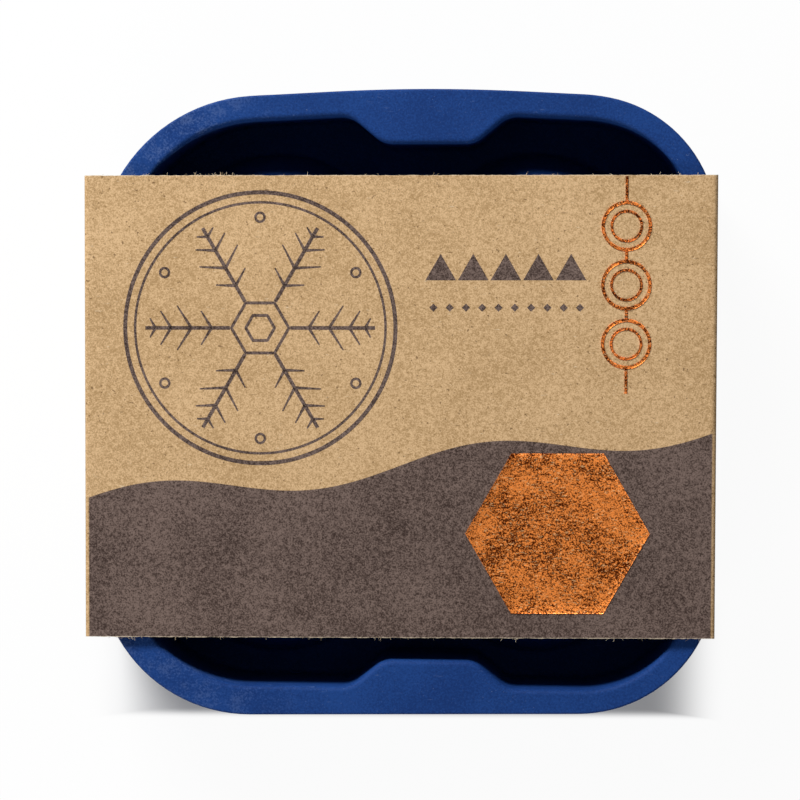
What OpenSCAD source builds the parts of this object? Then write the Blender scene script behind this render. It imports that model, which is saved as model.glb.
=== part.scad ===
// Two-part silicone mould for ice balls, held shut by a card sleeve.
// The mould lies flat with its filling side up: X runs across the sleeve, Y along it and Z up.
// Lengths are in millimetres and angles in degrees.

/* [Ice balls] */
// Diameter of each ice ball
ball_d = 50; // [46:1:54]
// Land between neighbouring balls at the parting plane
ball_land = 8.5; // [7.5:0.5:12]
// Thickness of the silicone round each ball
shell_t = 2.5; // [1.8:0.1:3.5]

/* [Mould outline] */
// Distance from the balls to the outer edge, left and right
border_x = 14; // [12:0.25:20]
// Distance from the balls to the outer edge, at the two ends with tabs
border_y = 14.75; // [14.5:0.25:22]
// Radius of the mould's outer corners
corner_r = 32; // [22:1:36]

/* [Rim and walls] */
// Width of the flat rim round the top recess
rim_w = 6.4; // [5:0.1:6.8]
// Thickness of the rim
rim_t = 3; // [2:0.5:4]
// Height of the rim's top above the parting plane
rim_h = 25.5; // [12:0.5:27]
// Thickness of the standing walls
wall_t = 2.5; // [1.5:0.1:3.5]
// Thickness of the two plates that meet at the parting plane
plate_t = 3; // [2.5:0.5:4]

/* [Pull tabs] */
// Width of a tab's inner edge
tab_w = 19; // [14:1:26]
// Width of a tab where it leaves the rim
tab_base_w = 36; // [32:1:44]
// How far a tab reaches inward from the rim
tab_in = 6.1; // [4:0.1:7]
// How far the side bows out at a tab
side_bow = 1.4; // [0.4:0.1:2]
// Width over which the side bows out
bow_w = 60; // [46:1:60]
// Extra bow of the lower half's flange
lower_bow_extra = 0.6; // [0:0.1:1.5]
// Shift of the tabs from the mould's middle line
tab_shift = 5.2; // [0:0.1:5.2]
// Radius of the tab's corners on the finger side of the wall
tab_corner_r = 0.8; // [0.4:0.1:1.5]
// Radius of the hollow where a tab leaves the rim
tab_foot_r = 3.3; // [2:0.1:5]

/* [Fill holes] */
// Diameter of the fill hole at the top of each ball
fill_d = 8; // [6:0.5:10]
// Diameter of the funnel's mouth
funnel_d = 15; // [12:0.5:17]
// Outer diameter of the collar round the funnel
collar_d = 20; // [18:0.5:24]
// Height of the collar above the dome
collar_h = 1.2; // [0.6:0.1:2.5]

/* [Seal] */
// Radius of the half-round sealing bead
seal_r = 1; // [0.6:0.1:1.2]
// Clearance of the bead in its groove
seal_gap = 0.25; // [0.15:0.05:0.4]
// Clearance between the two halves at the parting plane
seat_gap = 0.1; // [0.05:0.05:0.3]

/* [Card sleeve] */
// Thickness of the card
board_t = 0.6; // [0.4:0.1:1]
// Length of the sleeve along the mould
sleeve_len = 102; // [70:1:130]
// Outer radius of the folds
fold_r = 1; // [1:0.1:2]
// Width of the glued lap inside the left panel
lap_w = 15; // [8:1:25]
// Height of the outer layer's cut edge above the surface the sleeve lies on
seam_h = 1.2; // [0.8:0.1:3]
// Clearance between the mould and the right panel
side_gap = 0.5; // [0.3:0.1:2]
// Clearance between the mould and the glued lap
lap_gap = 1.4; // [0.3:0.1:3]
// Clearance under the mould's foot
foot_gap = 0.3; // [0.2:0.1:1]
// Height of the lower cups above the foot
cup_lift = 0.6; // [0.2:0.1:3]
// Clearance over the fill collars, in which the lid can lift
head_gap = 1.4; // [1.3:0.1:3]

/* [Hidden] */
$fn = 96;
// Small overlap that joins the pieces of one solid
join = 0.5;
// Small overlap with which each rounding of a tab crosses the lines that it joins
round_lap = 0.02;

// Ball places
ball_r = ball_d / 2;
dome_r = ball_r + shell_t;
ball_half_pitch = (ball_d + ball_land) / 2;
BALL_PLACES = [for (x = [-1, 1], y = [-1, 1]) ball_half_pitch * [x, y]];

// Outline of the mould and of the recess inside its rim
half_x = ball_half_pitch + ball_r + border_x;
half_y = ball_half_pitch + ball_r + border_y;
recess_half_y = half_y - rim_w;

// Slope of a tab's flanks, and how far each rounding cuts into its two lines
tab_angle = atan2(tab_in, (tab_base_w - tab_w) / 2);
tab_tip_r = tab_corner_r + wall_t;
tip_cut = tab_tip_r * tan(tab_angle / 2);
foot_cut = tab_foot_r * tan(tab_angle / 2);

// Radius of a bowed side, from the bow's width and height
function bow_r(bow) = (pow(bow_w / 2, 2) + pow(bow, 2)) / (2 * bow);

// How far the recess's bowed edge stands out where a tab's foot meets it
recess_bow_r = bow_r(side_bow) - rim_w;
foot_rise = side_bow - recess_bow_r + sqrt(pow(recess_bow_r, 2) - pow(tab_base_w / 2 + foot_cut, 2));

// The bead runs halfway between a ball's edge and the middle of the land
seal_ring_r = ball_r + ball_land / 4;

// Levels from the surface the sleeve lies on
foot_z = board_t + foot_gap;
parting_z = foot_z + cup_lift + dome_r;
collar_top_z = parting_z + seat_gap + dome_r + collar_h;
sleeve_h = collar_top_z + head_gap + board_t;

// Sleeve width, and the mould's place between the lap and the right panel
sleeve_in_w = board_t + lap_gap + 2 * half_x + side_gap;
sleeve_w = sleeve_in_w + 2 * board_t;
mould_x = (board_t + lap_gap - side_gap) / 2;

SILICONE = [0.13, 0.25, 0.49];
CARD = [0.77, 0.63, 0.44];

// Rectangle with round corners, centred on the origin
module rounded_rect(hx, hy, r) {
    square([2 * hx, 2 * (hy - r)], center = true);
    square([2 * (hx - r), 2 * hy], center = true);
    for (x = [-1, 1], y = [-1, 1])
        translate([x * (hx - r), y * (hy - r)])
            circle(r = r);
}

// One tab seen from above, reaching along +Y from the recess's edge at Y = 0.
// Its free edge is drawn back by the given inset, so the same shape gives both faces of the wall.
module tab_plan(inset) {
    slope = [sin(tab_angle), cos(tab_angle)];
    along = [cos(tab_angle), -sin(tab_angle)];
    tip = [tab_w / 2, tab_in];
    foot = [tab_base_w / 2, 0];
    flank = [
        tip - [tip_cut, inset],
        tip + tip_cut * along - inset * slope,
        foot - foot_cut * along - inset * slope,
        foot + [foot_cut, -inset],
        foot + [foot_cut, -rim_w]
    ];
    difference() {
        union() {
            polygon([
                for (p = flank) p,
                for (i = [len(flank) - 1 : -1 : 0]) [-flank[i].x, flank[i].y]
            ]);
            for (s = [-1, 1])
                translate([s * (tab_w / 2 - tip_cut), tab_in - tab_tip_r])
                    circle(r = tab_tip_r - inset + round_lap);
        }
        for (s = [-1, 1])
            translate([s * (tab_base_w / 2 + foot_cut), tab_foot_r])
                circle(r = tab_foot_r + inset + round_lap);
    }
}

// Rectangle with round corners whose two tab sides bow out, drawn in by an inset
module bowed_rect(bow, inset) {
    rounded_rect(half_x - inset, half_y - inset, corner_r - inset);
    for (s = [-1, 1])
        translate([tab_shift, s * half_y])
            mirror([0, s == 1 ? 0 : 1])
                intersection() {
                    translate([0, bow - bow_r(bow)])
                        circle(r = bow_r(bow) - inset);
                    translate([-bow_w / 2 - join, -inset - join])
                        square([bow_w + 2 * join, bow + 2 * join]);
                }
}

// Inside of the recess, grown outward by the given amount
module recess_plan(grow) {
    difference() {
        bowed_rect(side_bow, rim_w - grow);
        for (s = [-1, 1])
            translate([tab_shift, -s * (recess_half_y + foot_rise)])
                mirror([0, s == 1 ? 0 : 1])
                    tab_plan(grow);
    }
}

// Outer outline of a rim or flange
module rim_plan(bow) {
    bowed_rect(bow, 0);
}

// Standing wall that follows the recess and steps in at the tabs, which leaves room for fingers
module standing_wall(height) {
    linear_extrude(height)
        difference() {
            recess_plan(wall_t);
            recess_plan(0);
        }
}

// Flat plate at the parting plane with a round opening for each ball shell
module ball_plate() {
    linear_extrude(plate_t)
        difference() {
            children();
            for (p = BALL_PLACES)
                translate(p)
                    circle(r = ball_r + shell_t / 2);
        }
}

// Quarter section of a ball shell, closed at the top
module shell_section() {
    difference() {
        circle(r = dome_r);
        circle(r = ball_r);
        translate([-2 * dome_r, -dome_r])
            square([2 * dome_r, 2 * dome_r]);
        translate([0, -2 * dome_r])
            square([2 * dome_r, 2 * dome_r]);
    }
}

// Ball shell with a collar at the top and a funnel that leads into the fill hole
module filled_shell_section() {
    top = dome_r + collar_h;
    throat = ball_r + shell_t / 2;
    difference() {
        union() {
            shell_section();
            translate([0, throat])
                square([collar_d / 2, top - throat]);
        }
        square([fill_d / 2, top + join]);
        polygon([
            [0, throat],
            [fill_d / 2, throat],
            [funnel_d / 2, top],
            [funnel_d / 2, top + join],
            [0, top + join]
        ]);
        circle(r = ball_r);
    }
}

// Ring of round section for the seal round each ball
module seal_rings(section_r) {
    for (p = BALL_PLACES)
        translate(p)
            rotate_extrude()
                translate([seal_ring_r, 0])
                    circle(r = section_r, $fn = 32);
}

// Lower half: plate with its flange, four cups, a skirt to stand on and the sealing beads
module lower_mould() {
    color(SILICONE)
        translate([mould_x, 0, parting_z]) {
            mirror([0, 0, 1]) {
                ball_plate()
                    rim_plan(side_bow + lower_bow_extra);
                standing_wall(parting_z - foot_z);
                for (p = BALL_PLACES)
                    translate(p)
                        rotate_extrude()
                            shell_section();
            }
            seal_rings(seal_r);
        }
}

// Upper half: plate, four domes with fill funnels, a standing wall, the rim and the seal grooves
module upper_mould() {
    color(SILICONE)
        translate([mould_x, 0, parting_z + seat_gap])
            difference() {
                union() {
                    ball_plate()
                        recess_plan(wall_t);
                    standing_wall(rim_h);
                    translate([0, 0, rim_h - rim_t])
                        linear_extrude(rim_t)
                            difference() {
                                rim_plan(side_bow);
                                recess_plan(0);
                            }
                    for (p = BALL_PLACES)
                        translate(p)
                            rotate_extrude()
                                filled_shell_section();
                }
                translate([0, 0, -seat_gap])
                    seal_rings(seal_r + seal_gap);
            }
}

// Card folded round the mould, with the end of the blank glued inside the left panel
module sleeve() {
    color(CARD)
        rotate([90, 0, 0])
            linear_extrude(sleeve_len, center = true) {
                difference() {
                    translate([0, sleeve_h / 2])
                        difference() {
                            rounded_rect(sleeve_w / 2, sleeve_h / 2, fold_r);
                            rounded_rect(sleeve_in_w / 2, sleeve_h / 2 - board_t, fold_r - board_t / 2);
                        }
                    translate([-sleeve_w / 2 - join, -join])
                        square([board_t + join, seam_h + join]);
                }
                translate([-sleeve_in_w / 2, board_t / 2])
                    square([board_t, lap_w]);
            }
}

lower_mould();
upper_mould();
sleeve();
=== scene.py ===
"""Ice-ball mould in a card sleeve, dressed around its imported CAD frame.

The mould lies flat with its filling side up, and the sleeve's front panel faces the camera.
Lengths are in millimetres until a mesh is made.
"""
import math

import bmesh
import bpy
import numpy as np
from mathutils import Matrix, Vector
from mathutils.geometry import delaunay_2d_cdt


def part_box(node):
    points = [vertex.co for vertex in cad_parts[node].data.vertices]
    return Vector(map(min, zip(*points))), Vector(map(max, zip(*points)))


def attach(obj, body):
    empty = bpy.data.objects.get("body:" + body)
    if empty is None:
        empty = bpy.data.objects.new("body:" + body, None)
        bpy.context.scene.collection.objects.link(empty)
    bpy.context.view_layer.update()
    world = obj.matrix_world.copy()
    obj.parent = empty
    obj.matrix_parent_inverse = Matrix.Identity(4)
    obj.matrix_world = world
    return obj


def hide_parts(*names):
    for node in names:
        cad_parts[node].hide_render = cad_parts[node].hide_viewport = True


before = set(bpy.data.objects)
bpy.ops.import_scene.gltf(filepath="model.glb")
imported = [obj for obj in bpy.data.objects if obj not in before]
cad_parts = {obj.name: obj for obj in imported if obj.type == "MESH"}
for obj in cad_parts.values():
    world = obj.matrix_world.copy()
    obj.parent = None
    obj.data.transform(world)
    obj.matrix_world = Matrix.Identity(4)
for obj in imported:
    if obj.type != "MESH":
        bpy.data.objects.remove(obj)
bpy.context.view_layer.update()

MM = 0.001

# Sizes of the mould, as in the part's source
BALL_R = 25.0
SHELL = 2.5
DOME_R = BALL_R + SHELL
BALL_LAND = 8.5
HALF_PITCH = BALL_R + BALL_LAND / 2
CORNER_R = 32.0
RIM_W = 6.4
RIM_T = 3.0
RIM_H = 25.5
WALL = 2.5
PLATE = 3.0
TAB_W = 19.0
TAB_BASE_W = 36.0
TAB_IN = 6.1
SIDE_BOW = 1.4
LOWER_SIDE_BOW = 2.0
TAB_SHIFT = 5.2
FILL_R = 4.0
FUNNEL_R = 7.5
COLLAR_R = 10.0
COLLAR_H = 1.2
THROAT_H = BALL_R + SHELL / 2
SEAL_R = 1.0
SEAL_GAP = 0.25
SEAT_GAP = 0.1
SEAL_RING_R = BALL_R + BALL_LAND / 4

# Sizes of the card, as in the part's source
BOARD = 0.6
FOLD_R = 1.0
LAP_W = 15.0
SEAM_H = 1.2

# How far the dressed card's cut ends lie past the solid's, as the photograph shows them
CUT_SPREAD = 0.3

# Forms that only the dressed mould has: a rim as high as the fill collars, and rounded edges
RIM_LIFT = DOME_R + COLLAR_H - RIM_H
RIM_INNER_R = 1.2
RIM_OUTER_R = 0.5
UNDER_R = 0.6
ROOT_R = 1.2
FOOT_R = 0.8
EDGE_R = 0.4
DOME_ROOT_R = 1.2

# The dressed tabs have rounder corners and steeper flanks than the solids'
TAB_SOFT_R = 6.0
TAB_STEEPEN = 0.6

# Fineness of the meshes: the flat strip beside a rounding, and the steps on each kind of arc or line
SUPPORT = 0.25
ARC_STEPS = 8
EDGE_STEPS = 5
SEAL_STEPS = 12
DOME_STEPS = 22
CAVITY_STEPS = 28
CUP_STEPS = 30
TURN_STEPS = 96
LINE_STEPS = 12

# Points closer than this in metres merge, and edges sharper than this in degrees stay sharp
MERGE_DISTANCE = 1e-7
SHARP_ANGLE = 40


def node_box(name):
    """Lowest and highest corner of a CAD node, in millimetres."""
    low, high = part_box(name)
    return np.array(low) / MM, np.array(high) / MM


upper_low, upper_high = node_box("upper_mould")
lower_low, lower_high = node_box("lower_mould")
card_low, card_high = node_box("sleeve")

MOULD_X = (upper_low[0] + upper_high[0]) / 2
HALF_X = (upper_high[0] - upper_low[0]) / 2
HALF_Y = lower_high[1] - LOWER_SIDE_BOW
UPPER_Z = upper_low[2]
PARTING_Z = lower_high[2] - SEAL_R
FOOT_DEPTH = PARTING_Z - lower_low[2]
CARD_HALF_W = card_high[0]
CARD_HALF_L = card_high[1] + CUT_SPREAD
BALL_PLACES = [np.array([x, y]) * HALF_PITCH for x in (-1, 1) for y in (-1, 1)]


# Mesh building


def arc(centre, radius, start, end, steps=ARC_STEPS):
    """Points on a circle round centre, from one angle in degrees to another."""
    angle = np.radians(np.linspace(start, end, steps + 1))
    return np.stack([centre[0] + radius * np.cos(angle), centre[1] + radius * np.sin(angle)], axis=1)


def chain(runs, between, closed=True):
    """Joins runs of points, with evenly spaced points on the straight line from each run to the next."""
    out = []
    for i, run in enumerate(runs):
        out.append(run)
        if closed or i + 1 < len(runs):
            after = runs[(i + 1) % len(runs)][0]
            share = np.linspace(0, 1, between[i] + 2)[1:-1, None]
            out.append(run[-1] * (1 - share) + after * share)
    return np.concatenate(out)


class Shape:
    """Points and faces of one piece, gathered from grids and flat fills."""

    def __init__(self):
        self.points = []
        self.faces = []
        self.count = 0

    def add_points(self, points):
        """Adds an array of points and returns their indices in the same layout."""
        flat = points.reshape(-1, 3)
        index = np.arange(len(flat)).reshape(points.shape[:-1]) + self.count
        self.points.append(flat)
        self.count += len(flat)
        return index

    def add_grid(self, points, wrap=False):
        """Adds rows of points and the quads between neighbouring rows, round in a ring if wrap is set."""
        index = self.add_points(points)
        self.add_quads(index, wrap)
        return index

    def add_quads(self, index, wrap=False):
        """Quads between neighbouring rows of a grid of indices."""
        along = np.concatenate([index, index[:, :1]], axis=1) if wrap else index
        quads = np.stack([along[:-1, :-1], along[:-1, 1:], along[1:, 1:], along[1:, :-1]], axis=-1)
        self.faces.extend(quads.reshape(-1, 4).tolist())

    def add_fill(self, loop, holes, centres, hole_r):
        """Flat triangles inside a loop of indices and outside round holes at the given centres.

        The triangulation works in single precision, so its points are rounded first for both tests.
        """
        index = np.concatenate([loop] + holes)
        points = np.concatenate(self.points)[index][:, :2].astype(np.float32).astype(float)
        edges = []
        first = 0
        for ring in [loop] + holes:
            here = np.arange(len(ring)) + first
            edges.extend(np.stack([here, np.roll(here, -1)], axis=1).tolist())
            first += len(ring)
        made = delaunay_2d_cdt([Vector(p) for p in points.tolist()], edges, [], 0, 0.0)
        triangles = np.array(made[2])
        middle = points[triangles].mean(axis=1)
        keep = inside(points[: len(loop)], middle)
        for centre in centres:
            keep &= np.linalg.norm(middle - centre, axis=1) > hole_r * math.cos(math.pi / len(holes[0]))
        self.faces.extend(index[triangles[keep]].tolist())

    def make(self, name, material, blank=None):
        """Makes the object: doubles merged, faces outward, smooth but for its sharp edges."""
        mesh = bpy.data.meshes.new(name)
        mesh.from_pydata((np.concatenate(self.points) * MM).tolist(), [], self.faces)
        if blank is not None:
            place = mesh.attributes.new("blank", "FLOAT_VECTOR", "POINT")
            place.data.foreach_set("vector", blank.astype(np.float32).ravel())
        work = bmesh.new()
        work.from_mesh(mesh)
        bmesh.ops.remove_doubles(work, verts=work.verts, dist=MERGE_DISTANCE)
        bmesh.ops.recalc_face_normals(work, faces=work.faces)
        work.to_mesh(mesh)
        work.free()
        mesh.shade_smooth()
        mesh.set_sharp_from_angle(angle=math.radians(SHARP_ANGLE))
        mesh.materials.append(material)
        piece = bpy.data.objects.new(name, mesh)
        bpy.context.scene.collection.objects.link(piece)
        return piece


def inside(loop, points):
    """Even-odd test of points against a closed loop."""
    a = loop[None]
    b = np.roll(loop, -1, axis=0)[None]
    p = points[:, None]
    crosses = (a[..., 1] > p[..., 1]) != (b[..., 1] > p[..., 1])
    rise = np.where(b[..., 1] == a[..., 1], 1, b[..., 1] - a[..., 1])
    x = a[..., 0] + (p[..., 1] - a[..., 1]) * (b[..., 0] - a[..., 0]) / rise
    return (crosses & (p[..., 0] < x)).sum(axis=1) % 2 == 1


# Outline of the mould

# In the photograph the soft mould leans on the right panel and stands on its near side.
# So each corner has its own radius, reach past the straight side and shift of the recess.
CORNERS = {
    (1, -1): (CORNER_R - 1.5, 1.0, (0.7, -0.8)),
    (1, 1): (CORNER_R - 2.5, 1.1, (0.9, 1.0)),
    (-1, 1): (CORNER_R + 4.3, 0.0, (-0.1, 0.8)),
    (-1, -1): (CORNER_R + 2.0, 0.0, (0.0, 0.85)),
}

# The near side is pressed in, most at its right end, and the far side bows out over a width
NEAR_PRESS = 0.8
FAR_BOW_W = 80.0
BOW_POWER = 1.5

# The furthest reach past the straight sides, which keeps the mould clear of the sleeve's panels
PANEL_REACH = 0.05

# Edge of the recess and of its tabs
RECESS_Y = HALF_Y - RIM_W
TIP_X = TAB_W / 2 + TAB_STEEPEN
BASE_X = TAB_BASE_W / 2 - TAB_STEEPEN
TAB_ANGLE = math.atan2(TAB_IN, BASE_X - TIP_X)
TAB_CUT = TAB_SOFT_R * math.tan(TAB_ANGLE / 2)
FOOT_X = BASE_X + TAB_CUT
FOOT_RISE = SIDE_BOW * (1 - (2 * FOOT_X / FAR_BOW_W) ** 2) ** BOW_POWER

# Steps on a corner, and points between neighbouring arcs in order from the near right corner
CORNER_STEPS = 24
SIDE_RUNS = [18, 18, 14, 4, 12, 4, 14, 18, 14, 4, 12, 4]

# Lengths below this are rounding errors
ROUND_OFF = 1e-9


def tab_runs(out):
    """Edge of a tab as four arcs from its right foot to its left one.

    Each rounding keeps its centre when the edge moves outward, so only its radius changes.
    The second coordinate is the height above the recess's straight edge.
    """
    slope = math.degrees(TAB_ANGLE)
    foot = arc((FOOT_X, TAB_SOFT_R), TAB_SOFT_R + out, 270, 270 - slope)
    tip = arc((TIP_X - TAB_CUT, TAB_IN - TAB_SOFT_R), TAB_SOFT_R - out, 90 - slope, 90)
    mirror = np.array([-1, 1])
    return [foot, tip, (tip * mirror)[::-1], (foot * mirror)[::-1]]


def far_bow(loop, height):
    """How far the far side bows out: a low bell over the bow's width, centred on the tab."""
    share = np.clip(1 - (2 * (loop[:, 0] - TAB_SHIFT) / FAR_BOW_W) ** 2, 0, 1)
    return height * share**BOW_POWER * (loop[:, 1] > 0)


def near_press(loop):
    """How far the near side is pressed in: most at its right end, and nothing at its left end."""
    share = np.clip(loop / [HALF_X, HALF_Y], -1, 1)
    return NEAR_PRESS * (1 + share[:, 0]) / 2 * np.clip(-share[:, 1], 0, 1)


def recess_shift(loop):
    """Shift of the recess at each point: the corners' own shifts, blended evenly across the outline."""
    share = np.clip(loop / [HALF_X, HALF_Y], -1, 1)
    shift = np.zeros_like(loop)
    for (x, y), (_, _, push) in CORNERS.items():
        weight = (1 + x * share[:, 0]) * (1 + y * share[:, 1]) / 4
        shift += weight[:, None] * push
    return shift


def between_panels(loop, inset):
    """Keeps a loop clear of the sleeve's panels on its right and left."""
    limit = HALF_X + PANEL_REACH - inset
    loop[:, 0] = np.clip(loop[:, 0], -limit, limit)
    return loop


def plain_recess(out):
    """Closed loop along the recess's edge with straight sides and tabs, moved outward by a distance."""
    place = np.array([TAB_SHIFT, RECESS_Y])
    far = [run * [1, -1] + place for run in tab_runs(out)]
    near = [(run * [1, -1] + place)[::-1] * [1, -1] for run in tab_runs(out)[::-1]]
    corners = []
    for turn, ((x, y), (radius, reach, _)) in enumerate(CORNERS.items()):
        centre = (x * (HALF_X + reach - radius), y * (HALF_Y - radius))
        start = 90 * turn - 90
        corners.append(arc(centre, radius - RIM_W + out, start, start + 90, CORNER_STEPS))
    return chain(corners[:2] + far + corners[2:] + near, SIDE_RUNS)


def recess_path(out):
    """The recess's edge with its far side bowed, shifted as its corners are."""
    loop = plain_recess(out)
    shift = recess_shift(loop)
    at_tab = (np.abs(loop[:, 0] - TAB_SHIFT) < FOOT_X) & (loop[:, 1] > 0)
    loop[:, 1] += np.where(at_tab, FOOT_RISE, far_bow(loop, SIDE_BOW))
    return between_panels(loop + shift, RIM_W - out)


def rim_path(out, bow):
    """Closed loop along the outer edge, point for point beside the recess's edge."""
    plain = plain_recess(0)
    side = np.where(plain < 0, -1, 1)
    radius, reach = np.array([CORNERS[tuple(s)][:2] for s in side.tolist()]).T
    centre = side * (np.column_stack([HALF_X + reach, np.full(len(plain), HALF_Y)]) - radius[:, None])
    away = plain - centre
    round_corner = centre + away / np.linalg.norm(away, axis=1, keepdims=True) * (radius + out)[:, None]
    past_x, past_y = (side * away > ROUND_OFF).T
    loop = np.where((past_x & past_y)[:, None], round_corner, plain)
    loop[:, 0] += np.where(past_x & ~past_y, side[:, 0] * (RIM_W + out), 0)
    loop[:, 1] = np.where(past_y & ~past_x, side[:, 1] * (HALF_Y + out), loop[:, 1])
    loop[:, 1] += far_bow(loop, bow) + near_press(loop)
    return between_panels(loop, -out)


def swept_rings(section, bow):
    """Carries a section round the outline: each entry names an edge, with distances outward and heights."""
    paths = {"recess": recess_path, "rim": lambda out: rim_path(out, bow)}
    rings = []
    for edge, steps in section:
        for out, height in steps:
            loop = paths[edge](out)
            rings.append(np.column_stack([loop, np.full(len(loop), height)]))
    return np.array(rings)


# Silicone halves


def revolve(profile, centre, steps=TURN_STEPS):
    """Turns a profile of radius and height about an upright axis through centre."""
    turn = np.linspace(0, 2 * math.pi, steps, endpoint=False)
    radius = profile[:, :1]
    height = np.repeat(profile[:, 1:], steps, axis=1)
    return np.stack([centre[0] + radius * np.cos(turn), centre[1] + radius * np.sin(turn), height], axis=-1)


def dome_root(sign):
    """Rounding where a ball shell leaves its plate, from the plate's face to the shell.

    Its centre lies a rounding above the plate's face and a rounding outside the shell.
    """
    height = PLATE + DOME_ROOT_R
    reach = math.sqrt((DOME_R + DOME_ROOT_R) ** 2 - height**2)
    rise = math.degrees(math.atan2(height, reach))
    bend = arc((reach, height), DOME_ROOT_R, 270, 180 + rise)
    face = np.array([[reach + SUPPORT, PLATE]])
    return np.concatenate([face, bend]) * [1, sign], rise


def cavity_edge(sign):
    """Small rounding between a ball's cavity and the parting plane, from the cavity outward."""
    reach = math.sqrt((BALL_R + EDGE_R) ** 2 - EDGE_R**2)
    rise = math.degrees(math.atan2(EDGE_R, reach))
    return arc((reach, EDGE_R), EDGE_R, 180 + rise, 270, EDGE_STEPS) * [1, sign], rise


def dome_profile():
    """Upper ball shell: over the dome, round the collar, down the funnel and inside to the seal groove."""
    root, low = dome_root(1)
    top = DOME_R + COLLAR_H
    neck_h = math.sqrt((DOME_R + UNDER_R) ** 2 - (COLLAR_R + UNDER_R) ** 2)
    neck = math.degrees(math.atan2(neck_h, COLLAR_R + UNDER_R))
    cone = math.degrees(math.atan2(top - THROAT_H, FUNNEL_R - FILL_R))
    mouth_cut = EDGE_R * math.tan(math.radians(cone / 2))
    throat_cut = EDGE_R * math.tan(math.radians((90 - cone) / 2))
    hole_h = math.sqrt((BALL_R + EDGE_R) ** 2 - (FILL_R + EDGE_R) ** 2)
    hole = math.degrees(math.atan2(hole_h, FILL_R + EDGE_R))
    edge, start = cavity_edge(1)
    groove_r = SEAL_R + SEAL_GAP
    dip = math.degrees(math.asin(SEAT_GAP / groove_r))
    groove = arc((SEAL_RING_R, -SEAT_GAP), groove_r, 180 - dip, dip, SEAL_STEPS)
    return np.concatenate([
        root,
        arc((0, 0), DOME_R, low, neck, DOME_STEPS)[1:-1],
        arc((COLLAR_R + UNDER_R, neck_h), UNDER_R, 180 + neck, 180, EDGE_STEPS),
        arc((COLLAR_R - EDGE_R, top - EDGE_R), EDGE_R, 0, 90, EDGE_STEPS),
        arc((FUNNEL_R + mouth_cut, top - EDGE_R), EDGE_R, 90, 90 + cone, EDGE_STEPS),
        arc((FILL_R + EDGE_R, THROAT_H - throat_cut), EDGE_R, 90 + cone, 180, EDGE_STEPS),
        arc((FILL_R + EDGE_R, hole_h), EDGE_R, 180, 180 + hole, EDGE_STEPS),
        arc((0, 0), BALL_R, hole, start, CAVITY_STEPS)[1:-1],
        edge,
        groove,
        [[groove[-1, 0] + SUPPORT, 0]],
    ])


def cup_profiles():
    """Lower ball shell: its outside down to the pole, and its inside from there to past the sealing bead."""
    root, low = dome_root(-1)
    outer = np.concatenate([root, arc((0, 0), DOME_R, -low, -90, CUP_STEPS)[1:]])
    edge, start = cavity_edge(-1)
    bead = arc((SEAL_RING_R, 0), SEAL_R, 180, 0, SEAL_STEPS)
    bowl = arc((0, 0), BALL_R, -90, -start, CUP_STEPS)[:-1]
    inner = np.concatenate([bowl, edge, bead, [[SEAL_RING_R + SEAL_R + SUPPORT, 0]]])
    return outer, inner


def upper_section():
    """Section of the upper wall: from its plate up the inside, over the rim and down the outside."""
    top = RIM_H + RIM_LIFT
    under = top - RIM_T
    return [
        ("recess", [[-ROOT_R - SUPPORT, PLATE]]),
        ("recess", arc((-ROOT_R, PLATE + ROOT_R), ROOT_R, 270, 360)),
        ("recess", arc((RIM_INNER_R, top - RIM_INNER_R), RIM_INNER_R, 180, 90)),
        ("recess", [[RIM_INNER_R + SUPPORT, top]]),
        ("rim", [[-RIM_OUTER_R - SUPPORT, top]]),
        ("rim", arc((-RIM_OUTER_R, top - RIM_OUTER_R), RIM_OUTER_R, 90, 0)),
        ("rim", arc((-UNDER_R, under + UNDER_R), UNDER_R, 0, -90)),
        ("recess", arc((WALL + UNDER_R, under - UNDER_R), UNDER_R, 90, 180)),
        ("recess", arc((WALL - EDGE_R, EDGE_R), EDGE_R, 0, -90)),
        ("recess", [[WALL - EDGE_R - SUPPORT, 0]]),
    ]


def lower_section():
    """Section of the lower wall: from its plate down the inside, round the foot, up and over the flange."""
    return [
        ("recess", [[-ROOT_R - SUPPORT, -PLATE]]),
        ("recess", arc((-ROOT_R, -PLATE - ROOT_R), ROOT_R, 90, 0)),
        ("recess", arc((FOOT_R, FOOT_R - FOOT_DEPTH), FOOT_R, 180, 270)),
        ("recess", arc((WALL - FOOT_R, FOOT_R - FOOT_DEPTH), FOOT_R, 270, 360)),
        ("recess", arc((WALL + UNDER_R, -PLATE - UNDER_R), UNDER_R, 180, 90)),
        ("rim", arc((-UNDER_R, UNDER_R - PLATE), UNDER_R, 270, 360)),
        ("rim", arc((-RIM_OUTER_R, -RIM_OUTER_R), RIM_OUTER_R, 0, 90)),
        ("rim", [[-RIM_OUTER_R - SUPPORT, 0]]),
    ]


def make_half(name, section, bow, profiles, level, material):
    """One silicone half: the swept wall, a turned shell at each ball, and flat fills on its plate's faces.

    The first and last rings of the wall and of the shells bound the two fills.
    """
    shape = Shape()
    place = np.array([MOULD_X, 0, level])
    wall = shape.add_grid(swept_rings(section, bow) + place, wrap=True)
    inner_holes = []
    outer_holes = []
    centres = [place[:2] + ball for ball in BALL_PLACES]
    for centre in centres:
        turned = [shape.add_grid(revolve(p, centre) + [0, 0, level], wrap=True) for p in profiles]
        inner_holes.append(turned[0][0])
        outer_holes.append(turned[-1][-1])
    shape.add_fill(wall[0], inner_holes, centres, profiles[0][0, 0])
    shape.add_fill(wall[-1], outer_holes, centres, profiles[-1][-1, 0])
    return shape.make(name, material)


# Card sleeve

# Bow of the front panel with the share that its ends lose, and stand and lean of the right panel
FRONT_BOW = 0.25
BOW_LOSS = 0.4
PANEL_OUT = 0.1
PANEL_LEAN = 0.55

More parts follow.
